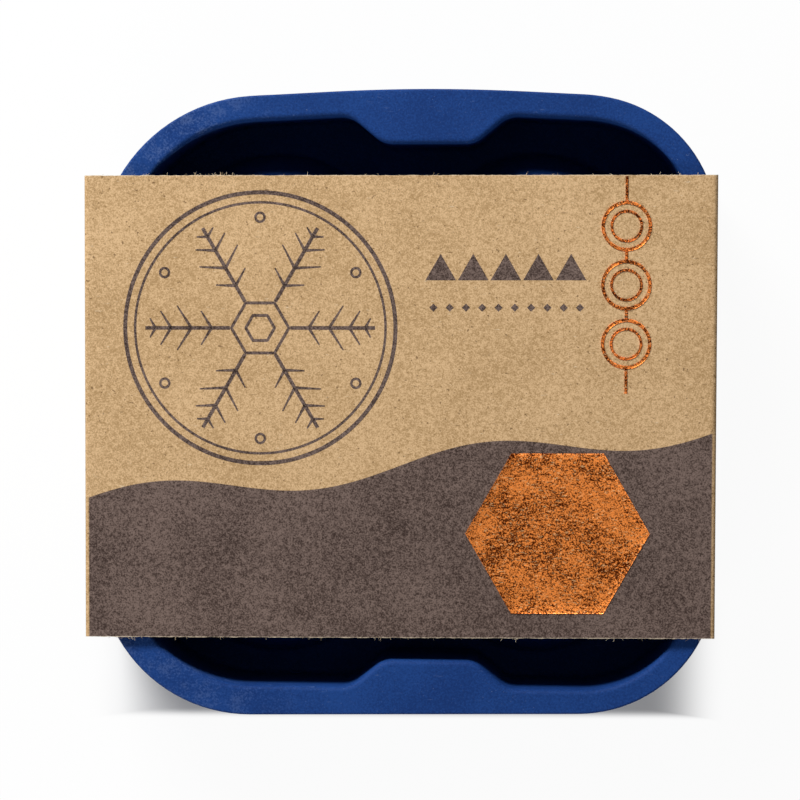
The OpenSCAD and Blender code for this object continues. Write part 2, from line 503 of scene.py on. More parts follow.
# Card above this share of the sleeve's height bows, and the front's middle is found where it faces up
FRONT_SHARE = 0.98
FRONT_FACING = 0.99

# Roughness of the cut ends, averaged over a few neighbouring points
CUT_ROUGH = 0.08
CUT_REACH = 2
CUT_SEED = 3

# Points along each panel, and rows along Y, close together at the cut ends
PANEL_RUNS = [50, 240, 50, 90, 12]
END_ROWS = np.array([0, 0.08, 0.3, 1, 3, 7])
MIDDLE_ROWS = 17
MIDDLE_HALF_L = CARD_HALF_L - 10

# Millimetres to one unit of the attribute blank, and its mark for the plain inner face
PRINT_UNIT = 100.0
PLAIN_SIDE = 5.0


def front_level(x, y):
    """Height of the front panel's outer face: flat, with a shallow bow that dies away at its folds."""
    across = np.clip(np.abs(x) / CARD_HALF_W, 0, 1)
    along = y / CARD_HALF_L
    return card_high[2] + FRONT_BOW * (1 - across**2) * (1 - BOW_LOSS * along**2)


def lean(x, y):
    """Sideways shift of the card: the right panel stands out at the far end and leans in at the near one."""
    share = np.clip(x / CARD_HALF_W, 0, 1)
    return share * (PANEL_OUT - PANEL_LEAN * (0.5 - y / (2 * CARD_HALF_L)))


def card_path():
    """Middle line of the folded blank seen along Y: left panel, front, right panel, back and glued lap."""
    fold = FOLD_R - BOARD / 2
    left = card_low[0] + BOARD / 2
    right = card_high[0] - BOARD / 2
    low = card_low[2] + BOARD / 2
    high = card_high[2] - BOARD / 2
    lap = left + BOARD
    runs = [
        np.array([[left, card_low[2] + SEAM_H]]),
        arc((left + fold, high - fold), fold, 180, 90),
        arc((right - fold, high - fold), fold, 90, 0),
        arc((right - fold, low + fold), fold, 0, -90),
        arc((lap + fold, low + fold), fold, -90, -180),
        np.array([[lap, low + LAP_W]]),
    ]
    return chain(runs, PANEL_RUNS, closed=False)


def smooth_noise(rng, count, reach):
    """Random heights with neighbours averaged over a reach, scaled to a spread of one."""
    rough = rng.normal(size=count + 2 * reach)
    even = np.convolve(rough, np.hanning(2 * reach + 3)[1:-1], mode="valid")
    return even / even.std()


def make_sleeve(material):
    """Card blank carried round its middle line, with half the board's thickness to either side.

    Each path point carries a ring that runs along Y on the outer face and back on the inner one.
    The attribute blank holds the distance along the blank from the front's middle, and Y.
    """
    path = card_path()
    step = np.gradient(path, axis=0)
    step /= np.linalg.norm(step, axis=1, keepdims=True)
    normal = np.stack([-step[:, 1], step[:, 0]], axis=1)
    run = np.concatenate([[0], np.cumsum(np.linalg.norm(np.diff(path, axis=0), axis=1))])
    on_front = normal[:, 1] > FRONT_FACING
    run -= run[on_front].mean()
    middle_rows = np.linspace(-MIDDLE_HALF_L, MIDDLE_HALF_L, MIDDLE_ROWS)
    rows = np.concatenate([END_ROWS - CARD_HALF_L, middle_rows, (CARD_HALF_L - END_ROWS)[::-1]])
    rng = np.random.default_rng(CUT_SEED)
    faces = []
    for side in (1, -1):
        flat = path + side * normal * BOARD / 2
        x = np.repeat(flat[:, :1], len(rows), axis=1)
        y = np.repeat(rows[None], len(path), axis=0)
        z = np.repeat(flat[:, 1:], len(rows), axis=1)
        for end, column in ((-1, 0), (1, -1)):
            y[:, column] -= end * np.abs(CUT_ROUGH * smooth_noise(rng, len(path), CUT_REACH))
        high_up = np.clip((z - card_low[2]) / (card_high[2] - card_low[2]), 0, 1)
        bow = (front_level(x, y) - card_high[2]) * np.where(high_up > FRONT_SHARE, 1, 0)
        faces.append(np.stack([x + lean(x, y), y, z + bow], axis=-1))
    outer, inner = faces
    shape = Shape()
    index = shape.add_grid(np.concatenate([outer, inner[:, ::-1]], axis=1), wrap=True)
    half = len(rows)
    for end in (0, -1):
        shape.add_quads(np.stack([index[end, :half], index[end, half:][::-1]]))
    blank = np.zeros((len(path), 2 * half, 3))
    blank[..., 0] = run[:, None] / PRINT_UNIT
    blank[..., 1] = np.concatenate([rows, rows[::-1]]) / PRINT_UNIT
    blank[:, half:, 2] = PLAIN_SIDE
    return shape.make("card_sleeve", material, blank=blank)


# Loose fibres along each cut edge, single and in tufts, kept clear of the folds
FIBRES_PER_EDGE = 50
TUFTS_PER_EDGE = 5
FIBRES_PER_TUFT = 8
TUFT_SPREAD = 0.6
FOLD_CLEAR = 3.0
FIBRE_SEED = 11

# One fibre: shortest and longest, thinnest and thickest, its taper, and the spread of lean and bend
FIBRE_POINTS = 7
FIBRE_LENGTHS = (0.25, 1.1)
FIBRE_RADII = (0.03, 0.07)
FIBRE_TAPER = 0.6
FIBRE_LEAN = 0.8
FIBRE_BEND = 1.2

# How deep a fibre's root lies in the cut edge, and how far it keeps from the board's faces
FIBRE_ROOT = 0.2
FIBRE_INSET = 0.05


def make_fibres(material):
    """Loose fibres along the front panel's cut edges, single and in tufts: four-sided tubes on bent paths.

    Each path leaves the cut edge at a random angle and bends by a steady turn, and its tube tapers.
    """
    shape = Shape()
    rng = np.random.default_rng(FIBRE_SEED)
    share = np.linspace(0, 1, FIBRE_POINTS)
    around = np.radians([45, 135, 225, 315])
    reach = CARD_HALF_W - FOLD_CLEAR
    for end in (-1, 1):
        single = rng.uniform(-reach, reach, FIBRES_PER_EDGE)
        tufts = np.repeat(rng.uniform(-reach, reach, TUFTS_PER_EDGE), FIBRES_PER_TUFT)
        tufts += rng.normal(0, TUFT_SPREAD, len(tufts))
        for x in np.concatenate([single, tufts]):
            length = rng.uniform(*FIBRE_LENGTHS)
            turn = rng.normal(0, FIBRE_LEAN) + rng.normal(0, FIBRE_BEND) * share
            steps = np.column_stack([np.sin(turn), end * np.cos(turn)]) * length / FIBRE_POINTS
            spots = np.array([x, end * (CARD_HALF_L - FIBRE_ROOT)]) + np.cumsum(steps, axis=0)
            level = front_level(spots[:, 0], spots[:, 1]) - rng.uniform(FIBRE_INSET, BOARD - FIBRE_INSET)
            side = np.column_stack([np.cos(turn), -end * np.sin(turn)])
            radius = rng.uniform(*FIBRE_RADII) * (1 - FIBRE_TAPER * share)
            across = radius[:, None] * np.cos(around)
            ring = np.empty((FIBRE_POINTS, 4, 3))
            ring[..., :2] = spots[:, None] + across[..., None] * side[:, None]
            ring[..., 0] += lean(spots[:, 0], spots[:, 1])[:, None]
            ring[..., 2] = level[:, None] + radius[:, None] * np.sin(around)
            index = shape.add_grid(ring, wrap=True)
            shape.faces.extend([index[0].tolist(), index[-1][::-1].tolist()])
    return shape.make("card_fibres", material)


# Print on the card

# Heights over the card's face, sections of printed lines, and rings of solid shapes as shares of size
INK_RISE = 0.03
FOIL_RISE = 0.17
FOIL_FLOOR = 0.02
FOIL_BEVEL = 0.33
PRINT_SINK = 0.05
INK_SECTION = [(1, -PRINT_SINK), (1, INK_RISE), (-1, INK_RISE), (-1, -PRINT_SINK)]
FOIL_SECTION = [
    (1, -PRINT_SINK), (1, FOIL_RISE), (0.5, FOIL_FLOOR),
    (-0.5, FOIL_FLOOR), (-1, FOIL_RISE), (-1, -PRINT_SINK),
]
PLATE_RINGS = (0.8, 0.6, 0.4, 0.2, 0.01)

# Ice crystal: rings with their line widths, hexagons, arms, and branches with their places and lengths
CRYSTAL_PLACE = np.array([-31.0, 17.5])
CRYSTAL_RINGS = [(30.0, 0.9), (27.8, 0.55)]
CRYSTAL_RING_STEPS = 160
CRYSTAL_HEXAGONS = [3.2, 6.4]
CRYSTAL_HEXAGON_W = 0.65
ARM_TURN = 60
ARM_START = 6.7
ARM_END = 25.5
ARM_W = 0.8
BRANCHES = [(10.5, 4.6), (15.0, 6.0), (19.5, 4.6), (23.0, 2.6)]
BRANCH_TURN = 55
BRANCH_START = 0.3
BRANCH_WIDTHS = (0.7, 0.3)
DROP_OUT = 24.5
DROP_R = 1.0
DROP_W = 0.55
DROP_STEPS = 24

# Rows of triangles and of dots beside the crystal
TRIANGLE_XS = np.arange(9.0, 40.0, 7.2)
TRIANGLE_Y = 30.0
TRIANGLE_R = 3.9
TRIANGLE_BEVEL = 0.3
DOT_XS = np.arange(7.4, 40.0, 3.6)
DOT_Y = 22.0
DOT_R = 0.9
DOT_BEVEL = 0.2
DOT_STEPS = 4

# Copper hexagon, and copper rule with its rings, each drawn as lines at insets with widths
HEXAGON_PLACE = np.array([35.0, -28.0])
HEXAGON_R = 20.5
RULE_X = 50.0
RULE_W = 0.6
RULE_CLEAR = 0.3
RULE_END = 3.0
RULE_RINGS = np.array([40.0, 27.0, 14.0])
RULE_RING_R = 5.2
RULE_RING_LINES = [(0.0, 0.7), (1.9, 0.55)]
RULE_RING_STEPS = 72

# Brown field: level, rise over half the front, wave's height and radians per millimetre, soft edge
FIELD_LEVEL = -13.0
FIELD_RISE = 8.5
FIELD_WAVE = 3.0
FIELD_SWING = 0.085
FIELD_SOFT = 0.06


def towards(angle):
    """Unit step in the direction of an angle in radians."""
    return np.array([math.cos(angle), math.sin(angle)])


def circle(centre, radius, steps):
    """Closed outline of a circle."""
    return centre + arc((0, 0), radius, 0, 360, steps)[:-1]


def on_card(spot, height):
    """Points over the front panel, which bows and leans, at a height above its face."""
    x, y = spot.T
    return np.column_stack([x + lean(x, y), y, front_level(x, y) + height])


def add_stroke(shape, path, width, section, closed=False):
    """Printed line: a low section of given width carried along a path on the front panel.

    Each corner of the section is a share of half the width and a height over the card's face.
    """
    before = np.roll(path, 1, axis=0) if closed else np.concatenate([path[:1], path[:-1]])
    after = np.roll(path, -1, axis=0) if closed else np.concatenate([path[1:], path[-1:]])
    step = after - before
    step = step / np.linalg.norm(step, axis=1, keepdims=True)
    side = np.stack([-step[:, 1], step[:, 0]], axis=1) * np.broadcast_to(width, len(path))[:, None] / 2
    corners = [on_card(path + share * side, height) for share, height in section]
    index = shape.add_points(np.stack(corners, axis=1))
    if closed:
        index = np.concatenate([index, index[:1]])
    else:
        shape.faces.extend([index[0].tolist(), index[-1][::-1].tolist()])
    shape.add_quads(index, wrap=True)


def line(start, end, steps=LINE_STEPS):
    """Points on a straight line."""
    share = np.linspace(0, 1, steps + 1)[:, None]
    return np.asarray(start) * (1 - share) + np.asarray(end) * share


def add_plate(shape, outline, rise, floor, bevel):
    """Solid printed shape: rings from the sunk outline up to its edge, down a bevel and on to its middle."""
    middle = outline.mean(axis=0)
    size = np.linalg.norm(outline - middle, axis=1).max()
    steps = [(1.0, -PRINT_SINK), (1.0, rise), (1 - bevel / size, floor)]
    steps += [(share, floor) for share in PLATE_RINGS]
    rings = [on_card(middle + (outline - middle) * share, height) for share, height in steps]
    index = shape.add_grid(np.array(rings), wrap=True)
    shape.faces.append(index[-1].tolist())
    shape.faces.append(index[0][::-1].tolist())


def polygon(centre, radius, sides, turn, steps=LINE_STEPS):
    """Closed outline of a regular polygon with evenly spaced points along its sides."""
    corners = centre + arc((0, 0), radius, turn, turn + 360, sides)
    return np.concatenate([line(a, b, steps)[:-1] for a, b in zip(corners[:-1], corners[1:])])


def make_ink_lines(material):
    """Large ice crystal in a double ring, and two rows of small shapes, as brown inked lines."""
    shape = Shape()
    for radius, width in CRYSTAL_RINGS:
        ring = circle(CRYSTAL_PLACE, radius, CRYSTAL_RING_STEPS)
        add_stroke(shape, ring, width, INK_SECTION, closed=True)
    for radius in CRYSTAL_HEXAGONS:
        outline = polygon(CRYSTAL_PLACE, radius, 6, 0)
        add_stroke(shape, outline, CRYSTAL_HEXAGON_W, INK_SECTION, closed=True)
    taper = np.linspace(*BRANCH_WIDTHS, LINE_STEPS + 1)
    for turn in np.radians(np.arange(0, 360, ARM_TURN)):
        out = towards(turn)
        add_stroke(shape, CRYSTAL_PLACE + line(out * ARM_START, out * ARM_END), ARM_W, INK_SECTION)
        for reach, length in BRANCHES:
            for bend in (-1, 1):
                tip = out * reach + length * towards(turn + bend * math.radians(BRANCH_TURN))
                branch = CRYSTAL_PLACE + line(out * (reach + BRANCH_START), tip)
                add_stroke(shape, branch, taper, INK_SECTION)
        spot = CRYSTAL_PLACE + DROP_OUT * towards(turn + math.radians(ARM_TURN / 2))
        add_stroke(shape, circle(spot, DROP_R, DROP_STEPS), DROP_W, INK_SECTION, closed=True)
    for x in TRIANGLE_XS:
        outline = polygon(np.array([x, TRIANGLE_Y]), TRIANGLE_R, 3, 90)
        add_plate(shape, outline, INK_RISE, INK_RISE, TRIANGLE_BEVEL)
    for x in DOT_XS:
        outline = polygon(np.array([x, DOT_Y]), DOT_R, 4, 0, DOT_STEPS)
        add_plate(shape, outline, INK_RISE, INK_RISE, DOT_BEVEL)
    return shape.make("ink_lines", material)


def make_foil(material):
    """Copper foil: a plain hexagon with a pressed border, and an upright rule with three rings."""
    shape = Shape()
    add_plate(shape, polygon(HEXAGON_PLACE, HEXAGON_R, 6, 0), FOIL_RISE, FOIL_FLOOR, FOIL_BEVEL)
    for y in RULE_RINGS:
        for inset, width in RULE_RING_LINES:
            ring = circle(np.array([RULE_X, y]), RULE_RING_R - inset, RULE_RING_STEPS)
            add_stroke(shape, ring, width, FOIL_SECTION, closed=True)
    ring_ends = np.repeat(RULE_RINGS, 2) + np.tile([RULE_RING_R, -RULE_RING_R], len(RULE_RINGS))
    stops = [CARD_HALF_L - RULE_CLEAR, *ring_ends, RULE_END]
    for high, low in zip(stops[::2], stops[1::2]):
        add_stroke(shape, line([RULE_X, high], [RULE_X, low]), RULE_W, FOIL_SECTION)
    return shape.make("copper_foil", material)


# Materials


def feed(tree, socket, value):
    """Gives an input its value, or a link where the value is another node's output."""
    if isinstance(value, bpy.types.NodeSocket):
        tree.links.new(value, socket)
    else:
        socket.default_value = value


def node(tree, kind, inputs=None, **settings):
    """Adds a shader node, with its settings, and its inputs given as values or as sockets to link."""
    made = tree.nodes.new(kind)
    for name, value in settings.items():
        setattr(made, name, value)
    for name, value in (inputs or {}).items():
        feed(tree, made.inputs[name], value)
    return made


def math_node(tree, operation, first, second=0.0):
    """Result of one sum on two values."""
    return node(tree, "ShaderNodeMath", {0: first, 1: second}, operation=operation).outputs[0]


def ramp(tree, value, low, high, to_low=0.0, to_high=1.0):
    """Smooth step of a value between two limits, clamped at both ends."""
    inputs = {"Value": value, "From Min": low, "From Max": high, "To Min": to_low, "To Max": to_high}
    return node(tree, "ShaderNodeMapRange", inputs, interpolation_type="SMOOTHSTEP").outputs[0]


def blend(tree, share, first, second):
    """Mixes two colours by a share. In a Mix node the colours are inputs 6 and 7, and output 2."""
    return node(tree, "ShaderNodeMix", {0: share, 6: first, 7: second}, data_type="RGBA").outputs[2]


def weighted_sum(tree, parts):
    """Sum of values, each times its share."""
    total = 0.0
    for value, share in parts:
        total = math_node(tree, "ADD", math_node(tree, "MULTIPLY", value, share), total)
    return total


NOISE_TURN = (0.61, 0.37, 0.23)


def noise(tree, place, scale, detail=2.0, rough=0.5):
    """Cloudy noise at a scale given as features per metre, turned so that no face lies along its lattice."""
    turned = node(tree, "ShaderNodeMapping", {"Vector": place, "Rotation": NOISE_TURN})
    inputs = {"Vector": turned.outputs[0], "Scale": scale, "Detail": detail, "Roughness": rough}
    return node(tree, "ShaderNodeTexNoise", inputs).outputs["Fac"]


def streaks(tree, place, turn, scale):
    """Noise drawn out into short streaks by unequal scales, after a turn about Z in degrees."""
    inputs = {"Vector": place, "Rotation": (0, 0, math.radians(turn)), "Scale": scale}
    drawn = node(tree, "ShaderNodeMapping", inputs).outputs["Vector"]
    return noise(tree, drawn, 1.0, 2.0, 0.6)


def new_group(name, inputs, outputs):
    """Empty node group with named sockets; a Vector input takes a place and the rest take values."""
    tree = bpy.data.node_groups.new(name, "ShaderNodeTree")
    for socket in inputs:
        kind = "NodeSocketVector" if socket == "Vector" else "NodeSocketFloat"
        tree.interface.new_socket(socket, in_out="INPUT", socket_type=kind)
    for socket in outputs:
        tree.interface.new_socket(socket, in_out="OUTPUT", socket_type="NodeSocketFloat")
    return tree, tree.nodes.new("NodeGroupInput").outputs, tree.nodes.new("NodeGroupOutput").inputs


def paper_group():
    """Card pulp: grain and clouds as a tone, short dark and pale fibres as masks, and a height."""
    tree, given, out = new_group("card_pulp", ["Vector"], ["Tone", "Dark", "Pale", "Height"])
    place = given["Vector"]
    grain = noise(tree, place, 2900, 2.0, 0.7)
    mottle = noise(tree, place, 1000, 2.0)
    cloud = noise(tree, place, 60, 2.0)
    tone = weighted_sum(tree, [(grain, 0.6), (mottle, 0.26), (cloud, 0.14)])
    dark = ramp(tree, noise(tree, place, 1300, 1.0), 0.69, 0.76)
    for turn, size in ((20, (420, 2300, 900)), (140, (380, 2000, 800))):
        streak = ramp(tree, streaks(tree, place, turn, size), 0.7, 0.78)
        dark = math_node(tree, "MAXIMUM", dark, streak)
    pale = ramp(tree, streaks(tree, place, 50, (500, 2800, 1000)), 0.68, 0.78)
    height = weighted_sum(tree, [(grain, 1.0), (pale, 0.4)])
    for name, value in (("Tone", tone), ("Dark", dark), ("Pale", pale), ("Height", height)):
        tree.links.new(value, out[name])
    return tree


def new_material(name, group=None):
    """Material with an empty Principled shader, and a group fed with Object coordinates if one is given."""
    material = bpy.data.materials.new(name)
    material.use_nodes = True
    tree = material.node_tree
    tree.nodes.clear()
    shader = node(tree, "ShaderNodeBsdfPrincipled")
    node(tree, "ShaderNodeOutputMaterial", {"Surface": shader.outputs[0]})
    place = node(tree, "ShaderNodeTexCoord").outputs["Object"]
    effect = None
    if group is not None:
        effect = node(tree, "ShaderNodeGroup", node_tree=group)
        tree.links.new(place, effect.inputs["Vector"])
    return material, tree, shader, place, effect


def set_gloss(tree, shader, rough, gloss):
    """Roughness of a surface, and the strength of its gloss."""
    feed(tree, shader.inputs["Roughness"], rough)
    feed(tree, shader.inputs["Specular IOR Level"], gloss)


def bump(tree, shader, height, distance, strength):
    """Fine relief from a height between 0 and 1, at a depth in metres."""
    inputs = {"Height": height, "Distance": distance, "Strength": strength}
    tree.links.new(node(tree, "ShaderNodeBump", inputs).outputs[0], shader.inputs["Normal"])


# Colours
SILICONE_BLUE = (0.0135, 0.057, 0.232, 1)
SILICONE_DEEP = (0.0075, 0.033, 0.15, 1)
DUST = (0.13, 0.19, 0.36, 1)
KRAFT = (0.725, 0.49, 0.268, 1)
KRAFT_DARK = (0.42, 0.262, 0.12, 1)
KRAFT_FLECK = (0.17, 0.095, 0.04, 1)
KRAFT_PALE = (0.88, 0.74, 0.54, 1)
INK = (0.045, 0.028, 0.023, 1)
INK_WORN = (0.205, 0.146, 0.124, 1)
COPPER = (1.0, 0.31, 0.065, 1)
COPPER_DARK = (0.08, 0.01, 0.001, 1)
# Pale copper for the foil's painted glints, a painted highlight
COPPER_PAINTED_GLINT = (1.0, 0.62, 0.3, 1)
FIBRE = (0.86, 0.75, 0.57, 1)
FIBRE_DARK = (0.62, 0.47, 0.29, 1)
FLOOR_WHITE = (0.88, 0.88, 0.88, 1)

# Wear: ink rubbed off beside a fold, and bare pulp along the ragged cut ends
FOLD_IN = 0.5
FOLD_WORN = (0.25, 0.55)
CUT_RAGGED = 0.5
CUT_BARE = (-0.05, 0.3)
CUT_PALE = 0.8

# Handled corners: the reach of the film in metres, and each place with its largest share of film
HANDLED_REACH = (0.008, 0.034)
HANDLED_X = MOULD_X - HALF_X + 14
HANDLED_CORNERS = [(HANDLED_X, HALF_Y - 12, 0.3), (HANDLED_X + 4, 10 - HALF_Y, 0.2)]


def silicone_material():
    """Matte blue silicone: grain and faint clouds, dust in patches, and a dusty film on handled corners."""
    material, tree, shader, place, _ = new_material("blue_silicone")
    cloud = noise(tree, place, 45, 3.0)
    grain = noise(tree, place, 2300, 2.0, 0.7)
    tone = weighted_sum(tree, [(grain, 0.6), (cloud, 0.4)])
    specks = ramp(tree, noise(tree, place, 2600, 2.0, 0.6), 0.66, 0.76)
    lint = ramp(tree, streaks(tree, place, 8, (300, 2600, 900)), 0.68, 0.8)
    patches = ramp(tree, noise(tree, place, 110, 2.0), 0.42, 0.66, 0.15, 0.7)
    dust = math_node(tree, "MULTIPLY", math_node(tree, "MAXIMUM", specks, lint), patches)
    film = ramp(tree, math_node(tree, "ADD", noise(tree, place, 260, 3.0, 0.7), grain), 0.98, 1.22)
    for x, y, share in HANDLED_CORNERS:
        corner = tuple(np.array([x, y, UPPER_Z + RIM_H]) * MM)
        from_corner = node(tree, "ShaderNodeVectorMath", {0: place, 1: corner}, operation="DISTANCE")
        handled = ramp(tree, from_corner.outputs["Value"], *HANDLED_REACH, share, 0.0)
        dust = math_node(tree, "MAXIMUM", dust, math_node(tree, "MULTIPLY", film, handled))
    colour = blend(tree, ramp(tree, tone, 0.36, 0.64), SILICONE_DEEP, SILICONE_BLUE)
    tree.links.new(blend(tree, dust, colour, DUST), shader.inputs["Base Color"])
    rough = math_node(tree, "ADD", math_node(tree, "MULTIPLY", dust, 0.25), 0.6)
    set_gloss(tree, shader, rough, 0.08)
    bump(tree, shader, noise(tree, place, 3200, 2.0), 0.00004, 0.5)
    return material


def field_mask(tree, blank):
    """Share of brown ink on the card: below a slanting wave, on the outer face, worn along the folds."""
    parts = node(tree, "ShaderNodeSeparateXYZ", {"Vector": blank}).outputs
    along = math_node(tree, "MULTIPLY", parts["X"], PRINT_UNIT)
    up = math_node(tree, "MULTIPLY", parts["Y"], PRINT_UNIT)
    slope = math_node(tree, "MULTIPLY", along, FIELD_RISE / CARD_HALF_W)
    swing = math_node(tree, "SINE", math_node(tree, "MULTIPLY", along, FIELD_SWING))
    wave = math_node(tree, "MULTIPLY", swing, FIELD_WAVE)
    edge = math_node(tree, "ADD", math_node(tree, "ADD", slope, wave), FIELD_LEVEL)
    inked = ramp(tree, math_node(tree, "SUBTRACT", edge, up), -FIELD_SOFT, FIELD_SOFT)
    printed = ramp(tree, parts["Z"], 0.0, 0.5, 1.0, 0.0)
    from_middle = math_node(tree, "ABSOLUTE", along)
    past_fold = math_node(tree, "SUBTRACT", from_middle, CARD_HALF_W - FOLD_IN)
    kept = ramp(tree, math_node(tree, "ABSOLUTE", past_fold), *FOLD_WORN)
    return math_node(tree, "MULTIPLY", math_node(tree, "MULTIPLY", inked, printed), kept)


def cut_mask(tree, blank, pulp):
    """Share of bare pale pulp along the card's two cut ends, broken up by the pulp's grain."""
    up = node(tree, "ShaderNodeSeparateXYZ", {"Vector": blank}).outputs["Y"]
    from_middle = math_node(tree, "MULTIPLY", math_node(tree, "ABSOLUTE", up), PRINT_UNIT)
    ragged = math_node(tree, "ADD", from_middle, math_node(tree, "MULTIPLY", pulp["Tone"], CUT_RAGGED))
    return ramp(tree, ragged, CARD_HALF_L + CUT_BARE[0], CARD_HALF_L + CUT_BARE[1], 0.0, CUT_PALE)


def kraft_colour(tree, pulp):
    """Kraft brown from the pulp's tone, with dark flecks and pale fibres."""
    base = blend(tree, ramp(tree, pulp["Tone"], 0.38, 0.62), KRAFT_DARK, KRAFT)
    flecked = blend(tree, math_node(tree, "MULTIPLY", pulp["Dark"], 0.75), base, KRAFT_FLECK)
    return blend(tree, math_node(tree, "MULTIPLY", pulp["Pale"], 0.5), flecked, KRAFT_PALE)


def ink_colour(tree, pulp):
    """Brown ink that lets the pulp's grain and pale fibres through."""
    base = blend(tree, ramp(tree, pulp["Tone"], 0.38, 0.62), INK, INK_WORN)
    return blend(tree, math_node(tree, "MULTIPLY", pulp["Pale"], 0.35), base, INK_WORN)


def card_material(group):
    """Kraft card with the brown field printed on its outer face."""
    material, tree, shader, _, pulp = new_material("kraft_card", group)
    blank = node(tree, "ShaderNodeAttribute", attribute_name="blank").outputs["Vector"]
    mask = field_mask(tree, blank)
    colour = blend(tree, mask, kraft_colour(tree, pulp.outputs), ink_colour(tree, pulp.outputs))
    colour = blend(tree, cut_mask(tree, blank, pulp.outputs), colour, KRAFT_PALE)
    tree.links.new(colour, shader.inputs["Base Color"])
    set_gloss(tree, shader, 0.85, 0.1)
    bump(tree, shader, pulp.outputs["Height"], 0.00006, 0.6)
    return material


def fibre_material():
    """Pale loose paper fibres."""
    material, tree, shader, place, _ = new_material("loose_fibre")
    tone = ramp(tree, noise(tree, place, 900), 0.35, 0.65)
    tree.links.new(blend(tree, tone, FIBRE_DARK, FIBRE), shader.inputs["Base Color"])
    set_gloss(tree, shader, 0.9, 0.1)
    return material


def ink_material(group):
    """Brown line ink on the card."""
    material, tree, shader, _, pulp = new_material("brown_ink", group)
    tree.links.new(ink_colour(tree, pulp.outputs), shader.inputs["Base Color"])
    set_gloss(tree, shader, 0.8, 0.1)
    bump(tree, shader, pulp.outputs["Height"], 0.00006, 0.6)
    return material


def foil_material(group):
    """Copper foil pressed into the card: metal, mottled in level streaks, with pale painted glints standing
    in for highlights, dented by the pulp below.
    """
    material, tree, shader, place, pulp = new_material("copper_foil", group)
    mottle = streaks(tree, place, 0, (600, 1500, 800))
    fine = noise(tree, place, 2900, 2.0, 0.8)
    cloud = noise(tree, place, 150, 2.0)
    tone = weighted_sum(tree, [(mottle, 0.24), (fine, 0.58), (cloud, 0.18)])
    colour = blend(tree, ramp(tree, tone, 0.43, 0.56), COPPER_DARK, COPPER)
    # Pale streaks blended into the base colour: painted glints of reflected light
    painted_glints = ramp(tree, streaks(tree, place, 12, (1000, 2800, 1200)), 0.58, 0.7, 0.0, 0.6)
    tree.links.new(blend(tree, painted_glints, colour, COPPER_PAINTED_GLINT), shader.inputs["Base Color"])
    shader.inputs["Metallic"].default_value = 1.0
    tree.links.new(ramp(tree, fine, 0.3, 0.7, 0.3, 0.5), shader.inputs["Roughness"])
    bump(tree, shader, pulp.outputs["Height"], 0.00008, 0.5)
    return material


# Floor, light and camera

# Floor, in metres: shares of its own white, and the distances over which it clears round the near corners
FLOOR_HALF = 2.5
NEAR_GLOW = 0.02
FAR_GLOW = 0.95
CLEAR_BELOW = (-0.0015, 0.002)
CLEAR_ABOVE = (0.01, 0.03)
CLEAR_BESIDE = (-0.018, 0.006)

# Light, in metres and watts: a strong lamp at the far left, a weak one at the near left, and a pale room
LAMP_W = 0.6
LAMP_H = 0.18
LAMP_TARGET = (0, 0, 0.03)
LAMP_UP = (0, 1, 0.01)
KEY_PLACE = (-0.35, 0.7, 0.62)
KEY_POWER = 11.8
FILL_PLACE = (-0.3, -0.72, 0.6)
FILL_POWER = 3.2
ROOM_LIGHT = 0.06
ROOM_MIRRORED = 0.5

# Camera, in millimetres
CAMERA_PLACE = np.array([30.0, 29.0, card_high[2] + 798.0])
CAMERA_TARGET = np.array([0.0, 1.55, card_high[2]])
LENS = 162.4
SENSOR_W = 36
NEAREST_SEEN = 10.0


def seen_directly(tree):
    """1 on rays that show a surface to the camera, straight or by way of a gloss or a clear body."""
    path = node(tree, "ShaderNodeLightPath").outputs
    seen = math_node(tree, "MAXIMUM", path["Is Camera Ray"], path["Is Glossy Ray"])
    return math_node(tree, "MAXIMUM", seen, path["Is Transmission Ray"])


def seen_past(point):
    """Place on the floor that the camera sees just past a point."""
    away = np.asarray(point) - CAMERA_PLACE
    return CAMERA_PLACE - away * CAMERA_PLACE[2] / away[2]


def floor_glow(tree, place):
    """Share of the floor's own white: less past the two near corners, where the object's shadow shows."""
    level = UPPER_Z + RIM_H
    right, near = seen_past((MOULD_X + HALF_X, -HALF_Y, level))[:2] * MM
    left = seen_past((MOULD_X - HALF_X, -HALF_Y, level))[0] * MM
    parts = node(tree, "ShaderNodeSeparateXYZ", {"Vector": place}).outputs
    below = ramp(tree, parts["Y"], near + CLEAR_BELOW[0], near + CLEAR_BELOW[1], 1.0, 0.0)
    above = ramp(tree, parts["Y"], near + CLEAR_ABOVE[0], near + CLEAR_ABOVE[1])
    from_middle = math_node(tree, "ABSOLUTE", math_node(tree, "SUBTRACT", parts["X"], (left + right) / 2))
    half = (right - left) / 2
    beside = ramp(tree, from_middle, half + CLEAR_BESIDE[0], half + CLEAR_BESIDE[1])
    clear = math_node(tree, "MAXIMUM", math_node(tree, "MAXIMUM", below, above), beside)
    return ramp(tree, clear, 0.0, 1.0, NEAR_GLOW, FAR_GLOW)


def make_floor():
    """White floor: mostly its own white where it is seen, and a plain pale surface for the light."""
    mesh = bpy.data.meshes.new("floor")
    corners = [(-1, -1, 0), (1, -1, 0), (1, 1, 0), (-1, 1, 0)]
    mesh.from_pydata((np.array(corners) * FLOOR_HALF).tolist(), [], [(0, 1, 2, 3)])
    material, tree, shader, place, _ = new_material("white_floor")
    shader.inputs["Base Color"].default_value = FLOOR_WHITE
    set_gloss(tree, shader, 0.9, 0.0)
    glow = node(tree, "ShaderNodeEmission", {"Color": (1, 1, 1, 1), "Strength": 1.0}).outputs[0]
    share = math_node(tree, "MULTIPLY", seen_directly(tree), floor_glow(tree, place))
    mixed = node(tree, "ShaderNodeMixShader", {0: share, 1: shader.outputs[0], 2: glow}).outputs[0]
    tree.links.new(mixed, tree.nodes["Material Output"].inputs["Surface"])
    mesh.materials.append(material)
    floor = bpy.data.objects.new("floor", mesh)
    bpy.context.scene.collection.objects.link(floor)


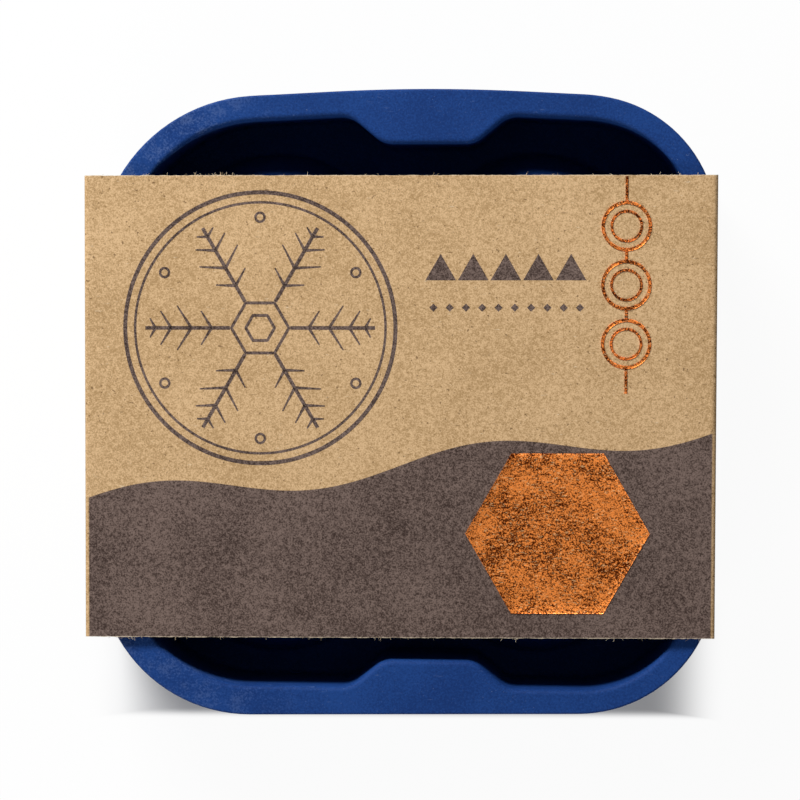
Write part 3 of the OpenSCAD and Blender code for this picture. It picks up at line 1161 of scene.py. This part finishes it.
def make_world():
    """Soft even light from all round, a brighter room in reflections, and white where the camera sees it."""
    world = bpy.data.worlds.new("studio")
    world.use_nodes = True
    tree = world.node_tree
    tree.nodes.clear()
    path = node(tree, "ShaderNodeLightPath").outputs
    gloss = math_node(tree, "MULTIPLY", path["Is Glossy Ray"], ROOM_MIRRORED - ROOM_LIGHT)
    room = math_node(tree, "ADD", gloss, ROOM_LIGHT)
    level = math_node(tree, "MAXIMUM", path["Is Camera Ray"], room)
    sky = node(tree, "ShaderNodeBackground", {"Color": (1, 1, 1, 1), "Strength": level}).outputs[0]
    node(tree, "ShaderNodeOutputWorld", {"Surface": sky})
    bpy.context.scene.world = world


def turned_to(place, target, up):
    """Matrix of a lamp or camera at a place, looking along its own -Z at a target with Y towards up."""
    back = (Vector(place) - Vector(target)).normalized()
    right = Vector(up).cross(back).normalized()
    top = back.cross(right)
    columns = Matrix((right, top, back)).transposed().to_4x4()
    columns.translation = Vector(place)
    return columns


def make_lamp(name, place, power):
    """Long soft lamp that looks at the middle of the object."""
    lamp = bpy.data.lights.new(name, "AREA")
    lamp.shape = "RECTANGLE"
    lamp.size = LAMP_W
    lamp.size_y = LAMP_H
    lamp.energy = power
    lamp_object = bpy.data.objects.new(name, lamp)
    lamp_object.matrix_world = turned_to(place, LAMP_TARGET, LAMP_UP)
    bpy.context.scene.collection.objects.link(lamp_object)


def make_camera():
    """Camera above the front panel, a little to its upper right, as in the photograph."""
    camera = bpy.data.cameras.new("camera")
    camera.lens = LENS
    camera.sensor_width = SENSOR_W
    camera.clip_start = NEAREST_SEEN * MM
    camera_object = bpy.data.objects.new("camera", camera)
    camera_object.matrix_world = turned_to(CAMERA_PLACE * MM, CAMERA_TARGET * MM, (0, 1, 0))
    bpy.context.scene.collection.objects.link(camera_object)
    bpy.context.scene.camera = camera_object


# Making

blue_silicone = silicone_material()
pulp_group = paper_group()
kraft_card = card_material(pulp_group)
brown_ink = ink_material(pulp_group)
copper = foil_material(pulp_group)

cups = cup_profiles()
lower_half = make_half("lower_half", lower_section(), LOWER_SIDE_BOW, cups, PARTING_Z, blue_silicone)
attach(lower_half, "base")
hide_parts("lower_mould")

domes = [dome_profile()]
upper_half = make_half("upper_half", upper_section(), SIDE_BOW, domes, UPPER_Z, blue_silicone)
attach(upper_half, "lid")
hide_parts("upper_mould")

card_sleeve = make_sleeve(kraft_card)
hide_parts("sleeve")
loose_fibre = fibre_material()
for piece in (card_sleeve, make_fibres(loose_fibre), make_ink_lines(brown_ink), make_foil(copper)):
    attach(piece, "wrap")

make_floor()
make_world()
make_lamp("key", KEY_PLACE, KEY_POWER)
make_lamp("fill", FILL_PLACE, FILL_POWER)
make_camera()
bpy.context.scene.view_settings.view_transform = "Standard"
